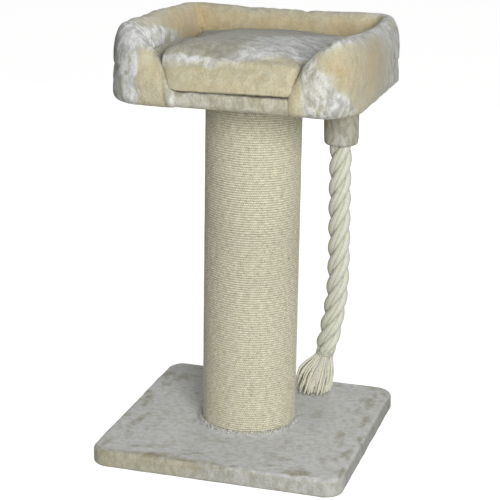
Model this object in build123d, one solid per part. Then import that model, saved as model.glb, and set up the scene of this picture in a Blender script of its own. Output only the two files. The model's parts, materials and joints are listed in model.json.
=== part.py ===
from build123d import *
import math
import os

# Free-standing cat tree: base, sisal-wound post, walled bed with a loose cushion, and a hanging rope toy.
# Millimetres, +Z up. The origin is the middle of the base's underside, and +Y is the back of the bed.

# Cloth and clearances
plush_thickness = 4.0
glue_gap = 0.2  # between layers that are glued or wrapped
loose_gap = 0.3  # between pieces that move or rest on each other
bolt_clearance = 0.5  # round a bolt's shank
thread_gap = 0.1  # round a shank in its nut or pilot hole

# Base
base_side = 533.0
base_corner = 38.0
base_board_thickness = 30.0
base_edge_round = 9.0
base_hem_width = 45.0

# Post
post_height = 722.0
tube_diameter = 190.0
tube_wall = 8.0
plug_thickness = 25.0

# Sisal winding: real turns at both ends, a plain sleeve for the turns between them
sisal_diameter = 4.5
sisal_gap = 0.5
end_turns = 12

# Bolts through the base and the bed board into the post's plugs
bolt_count = 3
bolt_circle = 110.0
bolt_diameter = 8.0
bolt_head_width = 13.0
bolt_head_height = 5.3
bolt_reach = 3.0  # past the tee nut
bolt_recess_depth = 10.0
bolt_recess_clearance = 2.0
washer_diameter = 24.0
washer_thickness = 2.0
tee_flange_diameter = 20.0
tee_flange_thickness = 1.5
tee_barrel_diameter = 10.6
tee_barrel_length = 12.0

# Bed board, drilled a little off its middle, as the photograph shows it standing on the post
bed_side = 496.0
bed_corner = 64.0
bed_offset = 12.5
bed_board_thickness = 29.0
bed_edge_round = 8.0

# Bed wall: a bent strip, foam and a plush skin, with sloping shoulders either side of the front opening
wall_thickness = 48.0
wall_height = 142.0  # from the bed's underside
strip_thickness = 4.0
strip_drop = 28.0  # from the wall's crest to the strip's top edge
opening_width = 248.0
shoulder_end_height = 14.0  # of the wall's two ends, above the bed board
shoulder_sections = 5
foam_end_gap = 10.0
strip_screws_per_side = 3
strip_screw_spacing = 140.0
strip_screw_diameter = 3.5
strip_screw_head = 8.0
strip_screw_head_depth = 2.2
strip_screw_length = 30.0

# Cushion
cushion_side_gap = 2.0
cushion_height = 79.0  # from the bed board to the crest of its crown
cushion_crown_radius = 1450.0
cushion_crest_forward = 60.0  # from the bed's middle to that crest
cushion_draw_in = 6.0
cushion_corner = 28.0
cushion_edge_round = 10.0
cover_thickness = 3.0
tongue_side_gap = 4.0
tongue_front_gap = 4.0
tongue_corner = 13.0

# Cuff under the bed's right rear corner
cuff_from_side = 119.5
cuff_from_back = 58.0
cuff_length = 145.0
cuff_tube_diameter = 66.0
cuff_plug_thickness = 25.0
cuff_screw_spacing = 24.0
cuff_screw_diameter = 4.5
cuff_screw_head = 9.0
cuff_screw_head_height = 3.0
cuff_screw_reach = 18.0  # into the plug

# Rope toy, hanging from a swing point just under the cuff. Each point of its route is a step sideways from
# there and a share of the way down to the whipping.
rope_diameter = 48.0
swing_limit = 40.0  # degrees either way
swing_clearance = 2.5  # under the cuff's rim at that limit
stub_recess = 2.0  # from the cuff's rim up to the glued end of the rope
arc_share = 0.45  # of the shorter run, taken by each bend of the rope
rope_route = [(0.0, 0.0), (1.0, 0.24), (4.0, 0.52), (2.0, 0.763), (-20.0, 1.0)]
whipping_diameter = 43.0
whipping_length = 14.0
whipping_round = 1.0
tassel_middle_diameter = 58.0
tassel_bottom_diameter = 76.0
tassel_drop = 80.0  # from the whipping to the tassel's end
tassel_shift = -16.0  # sideways over that drop
tassel_floor_gap = 6.0  # over the base

# Levels that follow from the sizes above
base_board_bottom = plush_thickness
base_board_top = base_board_bottom + base_board_thickness
base_top = base_board_top + plush_thickness
bed_bottom = base_top + post_height
bed_board_bottom = bed_bottom + plush_thickness
bed_board_top = bed_board_bottom + bed_board_thickness
bed_floor = bed_board_top + plush_thickness
bed_crest = bed_bottom + wall_height
strip_top = bed_crest - strip_drop
cuff_rim = bed_bottom - cuff_length
rope_bottom = base_top + tassel_floor_gap + tassel_drop + whipping_length

# Radii, half widths and places that follow from them
tube_radius = tube_diameter / 2
tube_bore = tube_radius - tube_wall
sisal_radius = sisal_diameter / 2
sisal_pitch = sisal_diameter + sisal_gap
winding_height = end_turns * sisal_pitch
rope_radius = rope_diameter / 2
swing_height = cuff_rim - rope_radius * math.sin(math.radians(swing_limit)) - swing_clearance
whipping_radius = whipping_diameter / 2
cuff_bore = rope_radius + glue_gap
cuff_tube_radius = cuff_tube_diameter / 2
bed_half = bed_side / 2
strip_inset = plush_thickness + glue_gap
covered_board_inset = strip_inset + strip_thickness + glue_gap
bed_board_inset = covered_board_inset + plush_thickness
opening_half = opening_width / 2
cuff_x = bed_offset + bed_half - cuff_from_side
cuff_y = bed_half - cuff_from_back
bolt_hole_radius = bolt_diameter / 2 + bolt_clearance
bolt_recess_radius = washer_diameter / 2 + bolt_recess_clearance
cut_margin = 1.0  # cutters pass the faces that they cut by this much
edge_tolerance = 0.01


def rounded_block(side, corner, bottom, top, middle_x=0.0):
    plan = Pos(middle_x, 0, bottom) * RectangleRounded(side, side, corner)
    return extrude(plan, top - bottom)


def edges_at(shape, height):
    return shape.edges().filter_by_position(Axis.Z, height - edge_tolerance, height + edge_tolerance)


def upright_cylinder(x, y, radius, bottom, top):
    return extrude(Pos(x, y, bottom) * Circle(radius), top - bottom)


def bolt_places():
    angles = [90 + 360 * step / bolt_count for step in range(bolt_count)]
    reach = bolt_circle / 2
    return [(reach * math.cos(math.radians(a)), reach * math.sin(math.radians(a))) for a in angles]


def bolt_holes(bottom, top, radius):
    return [upright_cylinder(x, y, radius, bottom, top) for x, y in bolt_places()]


def cut_all(shape, cutters):
    for cutter in cutters:
        shape = shape - cutter
    return shape


# Base
def base_board_block(growth):
    side = base_side - 2 * plush_thickness + 2 * growth
    block = rounded_block(side, base_corner - plush_thickness + growth, base_board_bottom, base_board_top)
    return fillet(edges_at(block, base_board_top), base_edge_round - plush_thickness + growth)


def base_board():
    recess_roof = base_board_bottom + bolt_recess_depth
    recesses = bolt_holes(base_board_bottom - cut_margin, recess_roof, bolt_recess_radius)
    holes = bolt_holes(base_board_bottom, base_board_top + cut_margin, bolt_hole_radius)
    return cut_all(base_board_block(0), recesses + holes)


def base_plush():
    block = rounded_block(base_side, base_corner, 0, base_top)
    block = fillet(edges_at(block, base_top), base_edge_round)
    window_side = base_side - 2 * plush_thickness - 2 * base_hem_width
    window = rounded_block(window_side, base_corner, -cut_margin, base_board_bottom + cut_margin)
    holes = bolt_holes(base_board_top - cut_margin, base_top + cut_margin, bolt_hole_radius)
    return cut_all(block, [base_board_block(glue_gap), window] + holes)


# Bolts, washers and tee nuts. Each is drawn for the base, and turned over for the bed.
def bolt(head_seat, tip):
    head_side = 1 if tip < head_seat else -1
    head = extrude(
        Pos(0, 0, head_seat) * RegularPolygon(bolt_head_width / 2, 6, major_radius=False),
        head_side * bolt_head_height,
    )
    return head + extrude(Pos(0, 0, tip) * Circle(bolt_diameter / 2), head_seat - tip)


def washer(bottom):
    ring = Circle(washer_diameter / 2) - Circle(bolt_diameter / 2 + thread_gap)
    return extrude(Pos(0, 0, bottom) * ring, washer_thickness)


def tee_nut(flange_face, barrel_side):
    bore = Circle(bolt_diameter / 2 + thread_gap)
    flange = Pos(0, 0, flange_face) * (Circle(tee_flange_diameter / 2) - bore)
    barrel = Pos(0, 0, flange_face) * (Circle(tee_barrel_diameter / 2) - bore)
    disc = extrude(flange, -barrel_side * tee_flange_thickness)
    return disc + extrude(barrel, barrel_side * tee_barrel_length)


def at_bolt_places(shape):
    return Compound([Pos(x, y, 0) * shape for x, y in bolt_places()])


def base_bolts():
    seat = base_board_bottom + bolt_recess_depth - washer_thickness
    return at_bolt_places(bolt(seat, base_top + plug_thickness + tee_flange_thickness + bolt_reach))


def base_washers():
    return at_bolt_places(washer(base_board_bottom + bolt_recess_depth - washer_thickness))


def bed_bolts():
    seat = bed_board_top - bolt_recess_depth + washer_thickness
    return at_bolt_places(bolt(seat, bed_bottom - plug_thickness - tee_flange_thickness - bolt_reach))


def bed_washers():
    return at_bolt_places(washer(bed_board_top - bolt_recess_depth))


def lower_tee_nuts():
    return at_bolt_places(tee_nut(base_top + plug_thickness, -1))


def upper_tee_nuts():
    return at_bolt_places(tee_nut(bed_bottom - plug_thickness, 1))


# Post
def post_tube():
    ring = Circle(tube_radius) - Circle(tube_bore)
    return extrude(Pos(0, 0, base_top) * ring, post_height)


def post_plug(bottom, nut_face):
    top = bottom + plug_thickness
    disc = upright_cylinder(0, 0, tube_bore - glue_gap, bottom, top)
    holes = bolt_holes(bottom - cut_margin, top + cut_margin, bolt_hole_radius)
    into_plug = 1 if nut_face == bottom else -1
    seat_end = nut_face + into_plug * (tee_barrel_length + loose_gap)
    low, high = sorted((nut_face - into_plug * cut_margin, seat_end))
    seats = bolt_holes(low, high, tee_barrel_diameter / 2 + thread_gap)
    return cut_all(disc, holes + seats)


# Sisal. A turn of the helix is two half turns, each a pair of arcs that meet its ends along its tangents.
def helix_point(start_height, turns):
    reach = tube_radius + glue_gap + sisal_radius
    angle = 2 * math.pi * turns
    return Vector(reach * math.cos(angle), reach * math.sin(angle), start_height + sisal_pitch * turns)


def helix_tangent(turns):
    around = 2 * math.pi * (tube_radius + glue_gap + sisal_radius)
    angle = 2 * math.pi * turns
    return Vector(-around * math.sin(angle), around * math.cos(angle), sisal_pitch).normalized()


def half_turn_arcs(start, start_tangent, end, end_tangent):
    chord = end - start
    both = start_tangent + end_tangent
    square = 2 - 2 * start_tangent.dot(end_tangent)
    across = chord.dot(both)
    arm = (-across + math.sqrt(across**2 + square * chord.dot(chord))) / square
    first_corner = start + start_tangent * arm
    last_corner = end - end_tangent * arm
    middle = (first_corner + last_corner) * 0.5
    middle_tangent = (last_corner - first_corner).normalized()
    return [
        Edge.make_tangent_arc(start, start_tangent, middle),
        Edge.make_tangent_arc(middle, middle_tangent, end),
    ]


def sisal_turns(start_height):
    first, last = helix_point(start_height, 0), helix_point(start_height, end_turns)
    lead_in = first - helix_tangent(0) * sisal_diameter
    lead_out = last + helix_tangent(end_turns) * sisal_diameter
    edges = [Edge.make_line(lead_in, first)]
    for half in range(2 * end_turns):
        here, there = half / 2, (half + 1) / 2
        edges += half_turn_arcs(
            helix_point(start_height, here),
            helix_tangent(here),
            helix_point(start_height, there),
            helix_tangent(there),
        )
    edges.append(Edge.make_line(last, lead_out))
    section = Plane(lead_in, z_dir=helix_tangent(0)) * RegularPolygon(sisal_radius, 6)
    return sweep(section, path=Wire(edges))


def sisal_self_gap(steps_per_turn=36):
    places = [helix_point(0, step / steps_per_turn) for step in range(end_turns * steps_per_turn + 1)]
    apart = steps_per_turn // 2
    nearest = min((a - b).length for i, a in enumerate(places) for b in places[i + apart :])
    return nearest - sisal_diameter


def sisal_end_turns():
    lower_start = base_top + loose_gap + sisal_radius
    upper_start = bed_bottom - loose_gap - sisal_radius - winding_height
    return Compound([sisal_turns(lower_start), sisal_turns(upper_start)])


def sisal_sleeve():
    end_room = winding_height + sisal_diameter + 2 * loose_gap
    ring = Circle(tube_radius + glue_gap + sisal_diameter) - Circle(tube_radius + glue_gap)
    return extrude(Pos(0, 0, base_top + end_room) * ring, post_height - 2 * end_room)


# Bed board and its cover
def bed_block(inset, bottom, top):
    return rounded_block(bed_side - 2 * inset, bed_corner - inset, bottom, top, bed_offset)


def strip_screw_places():
    face = bed_half - strip_inset
    middle = (bed_board_bottom + bed_board_top) / 2
    first = -strip_screw_spacing * (strip_screws_per_side - 1) / 2
    places = []
    for step in range(strip_screws_per_side):
        along = first + strip_screw_spacing * step
        places.append(Plane((bed_offset - face, along, middle), z_dir=(1, 0, 0)))
        places.append(Plane((bed_offset + face, along, middle), z_dir=(-1, 0, 0)))
        places.append(Plane((bed_offset + along, face, middle), z_dir=(0, -1, 0)))
    return places


def strip_screw(growth):
    head = Cone(
        strip_screw_head / 2 + growth,
        strip_screw_diameter / 2 + growth,
        strip_screw_head_depth,
        align=(Align.CENTER, Align.CENTER, Align.MIN),
    )
    shank = extrude(Circle(strip_screw_diameter / 2 + growth), strip_screw_length + growth)
    return head + shank


def strip_screw_holes():
    return [place * strip_screw(thread_gap) for place in strip_screw_places()]


def cuff_screw_places():
    half = cuff_screw_spacing / 2
    return [(cuff_x - half, cuff_y), (cuff_x + half, cuff_y)]


def cuff_screw_holes():
    head_seat = bed_board_top - cuff_screw_head_height
    tip = bed_bottom - cuff_screw_reach
    shank_radius = cuff_screw_diameter / 2 + thread_gap
    head_radius = cuff_screw_head / 2 + glue_gap
    holes = []
    for x, y in cuff_screw_places():
        holes.append(upright_cylinder(x, y, shank_radius, tip - loose_gap, bed_board_top))
        holes.append(upright_cylinder(x, y, head_radius, head_seat, bed_board_top + loose_gap))
    return holes


def bed_board_block(growth):
    block = bed_block(bed_board_inset - growth, bed_board_bottom, bed_board_top)
    outer_edges = edges_at(block, bed_board_bottom) + edges_at(block, bed_board_top)
    return fillet(outer_edges, bed_edge_round - plush_thickness + growth)


def bed_board():
    block = bed_board_block(0)
    recess_floor = bed_board_top - bolt_recess_depth
    recesses = bolt_holes(recess_floor, bed_board_top + cut_margin, bolt_recess_radius)
    holes = bolt_holes(bed_board_bottom - cut_margin, bed_board_top, bolt_hole_radius)
    return cut_all(block, recesses + holes + cuff_screw_holes() + strip_screw_holes())


def bed_board_plush():
    block = bed_block(covered_board_inset, bed_bottom, bed_floor)
    block = fillet(edges_at(block, bed_bottom) + edges_at(block, bed_floor), bed_edge_round)
    recesses = bolt_holes(bed_board_top - cut_margin, bed_floor + cut_margin, bolt_recess_radius)
    holes = bolt_holes(bed_bottom - cut_margin, bed_board_bottom + cut_margin, bolt_hole_radius)
    screw_holes = cuff_screw_holes() + strip_screw_holes()
    return cut_all(block, [bed_board_block(glue_gap)] + recesses + holes + screw_holes)


# Bed wall
def wall_section(place, half_width, bottom, crest):
    spring_line = crest - half_width
    foot = Line((-half_width, bottom), (half_width, bottom))
    right_side = Line((half_width, bottom), (half_width, spring_line))
    left_side = Line((-half_width, spring_line), (-half_width, bottom))
    right_arc = CenterArc((0, spring_line), half_width, 0, 90)
    left_arc = CenterArc((0, spring_line), half_width, 90, 90)
    return place * make_face([foot, right_side, right_arc, left_arc, left_side])


def wall_path():
    reach = bed_half - bed_corner
    turn = bed_corner - wall_thickness / 2
    corners = [(-1, -1, 270), (-1, 1, 180), (1, 1, 90), (1, -1, 0)]
    arcs = []
    for side_x, side_y, start in corners:
        arcs.append(CenterArc((bed_offset + side_x * reach, side_y * reach), turn, start, -90))
    edges = [arcs[0]]
    for before, after in zip(arcs, arcs[1:]):
        edges += [Line(before @ 1, after @ 0), after]
    return Wire(edges)


def shoulder_crest(share):
    low = bed_floor + shoulder_end_height
    return low + (bed_crest - low) * math.sin(math.pi / 2 * share)


def wall_form(inset, bottom):
    half_width = wall_thickness / 2 - inset
    middle_y = wall_thickness / 2 - bed_half
    full = bed_half - bed_corner
    end = opening_half + inset

    def place(x):
        return Plane((bed_offset + x, middle_y, 0), x_dir=(0, -1, 0), z_dir=(-1, 0, 0))

    wall = sweep(wall_section(place(-full), half_width, bottom, bed_crest - inset), path=wall_path())
    for side in (-1, 1):
        sections = []
        for step in range(shoulder_sections):
            share = step / (shoulder_sections - 1)
            x = side * (end + (full - end) * share)
            sections.append(wall_section(place(x), half_width, bottom, shoulder_crest(share) - inset))
        wall = wall + loft(sections)
    return wall


def bolster_plush():
    outer = wall_form(0, bed_bottom)
    inner = wall_form(plush_thickness, bed_bottom - cut_margin)
    board = bed_block(covered_board_inset - glue_gap, bed_bottom - cut_margin, bed_floor + glue_gap)
    return outer - inner - board


def bolster_strip():
    bottom = bed_bottom + glue_gap
    outer = bed_block(strip_inset, bottom, strip_top)
    ring = outer - bed_block(strip_inset + strip_thickness, bottom, strip_top)
    end = opening_half + plush_thickness + foam_end_gap
    low = shoulder_crest(0) - strip_drop / 2
    full = bed_half - bed_corner
    mouth = Polyline((-end, low), (-end, bottom), (end, bottom), (end, low), close=True)
    slopes = Polyline((-end, low), (end, low), (full, strip_top), (-full, strip_top), close=True)
    front = Plane((bed_offset, 0, 0), x_dir=(1, 0, 0), z_dir=(0, -1, 0))
    cutter_depth = bed_half + cut_margin
    mouth_cut = extrude(front * make_face(mouth), cutter_depth)
    slopes_cut = extrude(front * make_face(slopes), cutter_depth)
    return cut_all(ring, [mouth_cut, slopes_cut] + strip_screw_holes())


def bolster_foam():
    inset = plush_thickness + glue_gap
    form = wall_form(inset, bed_bottom)
    under = bed_block(0, bed_bottom - cut_margin, bed_floor + glue_gap)
    room_top = strip_top + glue_gap
    strip_room = bed_block(0, bed_bottom, room_top) - bed_block(covered_board_inset, bed_bottom, room_top)
    end = opening_half + inset + foam_end_gap
    mouth = Box(2 * end, wall_thickness, 2 * wall_height)
    mouth_place = Pos(bed_offset, -bed_half + wall_thickness / 2, bed_crest)
    return cut_all(form, [under, strip_room, mouth_place * mouth])


def bolster_screws():
    return Compound([place * strip_screw(0) for place in strip_screw_places()])


# Cushion: a crowned body between the walls, with a tongue that fills the front opening
def cushion_form(inset):
    half = bed_half - wall_thickness - cushion_side_gap - inset
    tongue = opening_half - tongue_side_gap - inset
    front = bed_half - covered_board_inset - tongue_front_gap - inset
    drawn = half - cushion_draw_in
    outline = [
        ThreePointArc((-half, half), (0, drawn), (half, half)),
        ThreePointArc((half, half), (drawn, 0), (half, -half)),
        Polyline((half, -half), (tongue, -half), (tongue, -front)),
        Line((tongue, -front), (-tongue, -front)),
        Polyline((-tongue, -front), (-tongue, -half), (-half, -half)),
        ThreePointArc((-half, -half), (-drawn, 0), (-half, half)),
    ]
    plan = make_face(outline)
    body_corners = [v for v in plan.vertices() if abs(v.X) > tongue + edge_tolerance]
    plan = fillet(body_corners, cushion_corner - inset)
    tongue_corners = [v for v in plan.vertices() if abs(abs(v.X) - tongue) < edge_tolerance]
    plan = fillet([v for v in tongue_corners if v.Y > -front + edge_tolerance], tongue_corner + inset)
    tongue_corners = [v for v in plan.vertices() if abs(v.Y + front) < edge_tolerance]
    plan = fillet(tongue_corners, tongue_corner - inset)
    bottom = bed_floor + loose_gap + inset
    crest = bed_floor + loose_gap + cushion_height
    block = extrude(Pos(bed_offset, 0, bottom) * plan, crest - bottom)
    crown = Sphere(cushion_crown_radius - inset)
    pad = block & Pos(bed_offset, -cushion_crest_forward, crest - cushion_crown_radius) * crown
    rim_edges = pad.edges() - pad.edges().filter_by(Axis.Z)
    return fillet(rim_edges, cushion_edge_round - inset)


def cushion_cover():
    return cushion_form(0) - cushion_form(cover_thickness)


def cushion_filling():
    return cushion_form(cover_thickness + glue_gap)


# Cuff
def cuff_tube():
    ring = Circle(cuff_tube_radius) - Circle(cuff_bore)
    bottom = cuff_rim + plush_thickness + glue_gap
    return extrude(Pos(cuff_x, cuff_y, bottom) * ring, bed_bottom - bottom)


def cuff_plush():
    inner = cuff_tube_radius + glue_gap
    outer = inner + plush_thickness
    hem_top = cuff_rim + plush_thickness
    rim = outer - plush_thickness
    section = [
        Polyline((outer, hem_top), (outer, bed_bottom), (inner, bed_bottom), (inner, hem_top)),
        Polyline((inner, hem_top), (cuff_bore, hem_top), (cuff_bore, cuff_rim), (rim, cuff_rim)),
        CenterArc((rim, hem_top), plush_thickness, 270, 90),
    ]
    return Pos(cuff_x, cuff_y, 0) * revolve(Plane.XZ * make_face(section), Axis.Z)


def cuff_plug():
    bottom = bed_bottom - cuff_plug_thickness
    plug = upright_cylinder(cuff_x, cuff_y, cuff_bore - glue_gap, bottom, bed_bottom)
    return cut_all(plug, cuff_screw_holes())


def cuff_screws():
    seat = bed_board_top - cuff_screw_head_height
    screws = []
    for x, y in cuff_screw_places():
        shank = upright_cylinder(x, y, cuff_screw_diameter / 2, bed_bottom - cuff_screw_reach, seat)
        screws.append(shank + upright_cylinder(x, y, cuff_screw_head / 2, seat, bed_board_top))
    return Compound(screws)


def rope_stub():
    top = bed_bottom - cuff_plug_thickness
    stub = upright_cylinder(cuff_x, cuff_y, rope_radius, cuff_rim + stub_recess, top)
    return stub - Pos(cuff_x, cuff_y, swing_height) * Sphere(rope_radius + loose_gap)


# Rope toy
def rope_points():
    drop = swing_height - rope_bottom
    return [Vector(cuff_x + step, cuff_y, swing_height - drop * share) for step, share in rope_route]


def bend_radii(points):
    radii = []
    for before, corner, after in zip(points, points[1:], points[2:]):
        into, out = corner - before, after - corner
        half_turn = math.radians(into.get_angle(out)) / 2
        radii.append(arc_share * min(into.length, out.length) / math.tan(half_turn))
    return radii


def rope_end():
    points = rope_points()
    return points[-1], (points[-1] - points[-2]).normalized()


def toy_rope():
    points = rope_points()
    path = FilletPolyline(*points, radius=bend_radii(points))
    top = Plane(points[0], z_dir=points[0] - points[1])
    tube = sweep(top * Circle(rope_radius), path=path)
    upper_half = (Align.CENTER, Align.CENTER, Align.MIN)
    dome = top * Sphere(rope_radius, arc_size1=0, arc_size2=90, align=upper_half)
    return tube + dome


def rope_whipping():
    end, along = rope_end()
    band = extrude(Plane(end, z_dir=along) * Circle(whipping_radius), whipping_length)
    return fillet(band.edges().filter_by(GeomType.CIRCLE), whipping_round)


def rope_tassel():
    end, along = rope_end()
    top = end + along * whipping_length
    bottom = top + Vector(tassel_shift, 0, -tassel_drop)
    middle = (top + bottom) * 0.5
    down = Vector(0, 0, -1)
    return loft(
        [
            Plane(top, x_dir=(0, 1, 0), z_dir=along) * Circle(whipping_radius - whipping_round),
            Plane(middle, x_dir=(0, 1, 0), z_dir=along + down) * Circle(tassel_middle_diameter / 2),
            Plane(bottom, x_dir=(0, 1, 0), z_dir=down) * Circle(tassel_bottom_diameter / 2),
        ]
    )


nodes = {
    "base_board": base_board(),
    "base_plush": base_plush(),
    "base_bolts": base_bolts(),
    "base_washers": base_washers(),
    "post_tube": post_tube(),
    "post_lower_plug": post_plug(base_top, base_top + plug_thickness),
    "post_upper_plug": post_plug(bed_bottom - plug_thickness, bed_bottom - plug_thickness),
    "lower_tee_nuts": lower_tee_nuts(),
    "upper_tee_nuts": upper_tee_nuts(),
    "sisal_sleeve": sisal_sleeve(),
    "sisal_end_turns": sisal_end_turns(),
    "bed_board": bed_board(),
    "bed_board_plush": bed_board_plush(),
    "bed_bolts": bed_bolts(),
    "bed_washers": bed_washers(),
    "bolster_strip": bolster_strip(),
    "bolster_foam": bolster_foam(),
    "bolster_plush": bolster_plush(),
    "bolster_screws": bolster_screws(),
    "cushion_cover": cushion_cover(),
    "cushion_filling": cushion_filling(),
    "cuff_tube": cuff_tube(),
    "cuff_plush": cuff_plush(),
    "cuff_plug": cuff_plug(),
    "cuff_screws": cuff_screws(),
    "rope_stub": rope_stub(),
    "toy_rope": toy_rope(),
    "rope_whipping": rope_whipping(),
    "rope_tassel": rope_tassel(),
}

os.makedirs("parts", exist_ok=True)
for name, shape in nodes.items():
    export_step(shape, f"parts/{name}.step")

print("least gap between sisal turns, mm:", round(sisal_self_gap(), 3))
print("rope bend radii, mm:", [round(radius) for radius in bend_radii(rope_points())])
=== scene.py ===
import json
import math

import bmesh
import bpy
import numpy as np
from mathutils import Matrix, Vector, noise


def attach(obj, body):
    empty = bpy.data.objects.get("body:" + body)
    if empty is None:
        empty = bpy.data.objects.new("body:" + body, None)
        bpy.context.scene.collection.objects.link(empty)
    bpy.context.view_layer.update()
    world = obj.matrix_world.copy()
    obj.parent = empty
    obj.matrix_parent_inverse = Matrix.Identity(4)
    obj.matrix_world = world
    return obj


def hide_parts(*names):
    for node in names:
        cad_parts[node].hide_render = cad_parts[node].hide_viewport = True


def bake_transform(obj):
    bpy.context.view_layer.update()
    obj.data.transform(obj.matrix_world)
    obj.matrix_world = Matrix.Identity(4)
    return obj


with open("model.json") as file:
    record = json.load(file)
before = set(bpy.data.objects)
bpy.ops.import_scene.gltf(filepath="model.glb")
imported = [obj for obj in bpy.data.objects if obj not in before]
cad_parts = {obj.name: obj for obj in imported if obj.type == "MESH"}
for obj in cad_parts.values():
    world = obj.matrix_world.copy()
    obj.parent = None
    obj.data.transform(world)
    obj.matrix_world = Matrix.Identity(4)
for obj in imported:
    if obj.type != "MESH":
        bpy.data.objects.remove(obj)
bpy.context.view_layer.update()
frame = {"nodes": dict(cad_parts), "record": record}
scene = bpy.context.scene
nodes = frame["nodes"]

# Sizes repeated from the part's source, in metres
BASE_TOP = 0.038
BED_BOTTOM = 0.760
BED_FLOOR = 0.797
BED_MIDDLE = 0.0125
BED_HALF = 0.248
BED_CORNER = 0.064
WALL = 0.048
POST_RADIUS = 0.0952
SISAL_PITCH = 0.005
CUFF_X, CUFF_Y = 0.141, 0.190
CUFF_RIM = 0.615
SWING_HEIGHT = 0.59707
ROPE_BOTTOM = 0.138

# The winding's rope, a little thicker than in the solids, so that its turns touch
SISAL = 0.0047

# How far the gathered side walls swell into the bed, and press the cushion in
GATHER_SWELL = 0.022

# Kinds of nodes that are used often
MATH, VECTOR_MATH = "ShaderNodeMath", "ShaderNodeVectorMath"
NOISE, MAP_RANGE = "ShaderNodeTexNoise", "ShaderNodeMapRange"

# A range's sockets in their order, and the numbers of a mix's sockets that take and give colours
RANGE = ("Value", "From Min", "From Max", "To Min", "To Max")
MIX_FIRST, MIX_SECOND, MIX_RESULT = 6, 7, 2


# Plain tools
def linear(code):
    """An sRGB hex colour as linear RGBA."""
    parts = [int(code[i : i + 2], 16) / 255 for i in (1, 3, 5)]
    return [c / 12.92 if c <= 0.04045 else ((c + 0.055) / 1.055) ** 2.4 for c in parts] + [1.0]


def per_mm(size):
    """A texture scale whose features are this many millimetres across."""
    return 1000.0 / size


def add(tree, kind, links=None, **settings):
    """Adds a node with its settings. Links maps an input to a value, to a socket, or to a node, of which the
    first output is taken."""
    made = tree.nodes.new(kind)
    for name, value in settings.items():
        setattr(made, name, value)
    for socket, value in (links or {}).items():
        if isinstance(value, bpy.types.Node):
            value = value.outputs[0]
        if isinstance(value, bpy.types.NodeSocket):
            tree.links.new(value, made.inputs[socket])
        else:
            made.inputs[socket].default_value = value
    return made


def placed(name, data):
    """A new object in the scene with this data."""
    made = bpy.data.objects.new(name, data)
    scene.collection.objects.link(made)
    return made


def evaluated_mesh(shown):
    """An object's mesh with its modifiers applied."""
    depsgraph = bpy.context.evaluated_depsgraph_get()
    return bpy.data.meshes.new_from_object(shown.evaluated_get(depsgraph))


def apply_modifier(piece, modifier):
    """Makes the mesh that a modifier gives the piece's own."""
    old, mesh = piece.data, evaluated_mesh(piece)
    piece.modifiers.remove(modifier)
    piece.data = mesh
    bpy.data.meshes.remove(old)
    mesh.name = piece.name


def mesh_piece(name, points, faces, material):
    """A smooth piece of these points and faces."""
    mesh = bpy.data.meshes.new(name)
    mesh.from_pydata(np.asarray(points, float).tolist(), [], faces)
    mesh.update()
    mesh.polygons.foreach_set("use_smooth", [True] * len(mesh.polygons))
    mesh.materials.append(material)
    return placed(name, mesh)


def grid_faces(rows, columns, start=0):
    """Quads between rings of points, each ring closed, where the first point has the number start."""
    faces = []
    for row in range(rows - 1):
        here, there = start + row * columns, start + (row + 1) * columns
        for column in range(columns):
            after = (column + 1) % columns
            faces.append((here + column, here + after, there + after, there + column))
    return faces


def capped_grid(rows, columns, start=0):
    """The same quads, with both end rings closed by the two points that follow the rings."""
    faces = grid_faces(rows, columns, start)
    last_ring, pole = start + (rows - 1) * columns, start + rows * columns
    for column in range(columns):
        after = (column + 1) % columns
        faces.append((start + after, start + column, pole))
        faces.append((last_ring + column, last_ring + after, pole + 1))
    return faces


def tidy_mesh(piece, merge=True):
    """Turns all faces outwards, and before that merges the points of poles where merge is set."""
    form = bmesh.new()
    form.from_mesh(piece.data)
    if merge:
        bmesh.ops.remove_doubles(form, verts=form.verts, dist=1e-6)
        bmesh.ops.dissolve_degenerate(form, edges=form.edges, dist=1e-7)
    bmesh.ops.recalc_face_normals(form, faces=form.faces)
    form.to_mesh(piece.data)
    form.free()
    piece.data.update()


def points_of(piece, field="co"):
    """A piece's points, or their normals where the field isn't co, as rows of three."""
    values = np.empty(len(piece.data.vertices) * 3)
    if field == "co":
        piece.data.vertices.foreach_get("co", values)
    else:
        piece.data.vertex_normals.foreach_get("vector", values)
    return values.reshape(-1, 3)


def set_points(piece, points):
    """Moves a piece's points."""
    piece.data.vertices.foreach_set("co", np.asarray(points, float).ravel())
    piece.data.update()


def set_attribute(piece, name, values):
    """Stores a number at each point, or one number at all of them."""
    layer = piece.data.attributes.get(name) or piece.data.attributes.new(name, "FLOAT", "POINT")
    layer.data.foreach_set("value", np.ones(len(layer.data), np.float32) * np.asarray(values, np.float32))


def set_pile(piece, nap, dark, brushed):
    """Stores how the plush lies: nap (0 deep tan, 1 silver, a painted sheen), dark (the share of light lost:
    painted shade, painted light where it is below 0, and on the base also its smudges) and brushed (0 even,
    1 streaky)."""
    for name, values in (("nap", nap), ("dark", dark), ("brushed", brushed)):
        set_attribute(piece, name, values)


def lumps(points, size, seed):
    """Smooth noise about zero with features of that size in metres."""
    shift = Vector((seed * 7.31, seed * 3.17, seed * 5.83))
    return np.array([noise.noise(Vector(p) / size + shift) for p in points])


def blob(points, centre, reach):
    """A soft bump, 1 at its centre, that fades out over the reach along each axis."""
    steps = (points - np.array(centre)) / np.array(reach)
    return np.exp(-(steps**2).sum(1))


def fade(values, start, end):
    """0 before start, 1 after end, smooth between them."""
    share = np.clip((np.asarray(values, float) - start) / (end - start), 0, 1)
    return share * share * (3 - 2 * share)


# Materials
def blank_material(name):
    """A material and its empty tree of nodes."""
    material = bpy.data.materials.new(name)
    material.use_nodes = True
    material.node_tree.nodes.clear()
    return material, material.node_tree


def close_material(tree, looks):
    """Ends a material's tree with a shader that has these links and values."""
    add(tree, "ShaderNodeOutputMaterial", {"Surface": add(tree, "ShaderNodeBsdfPrincipled", looks)})


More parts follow.
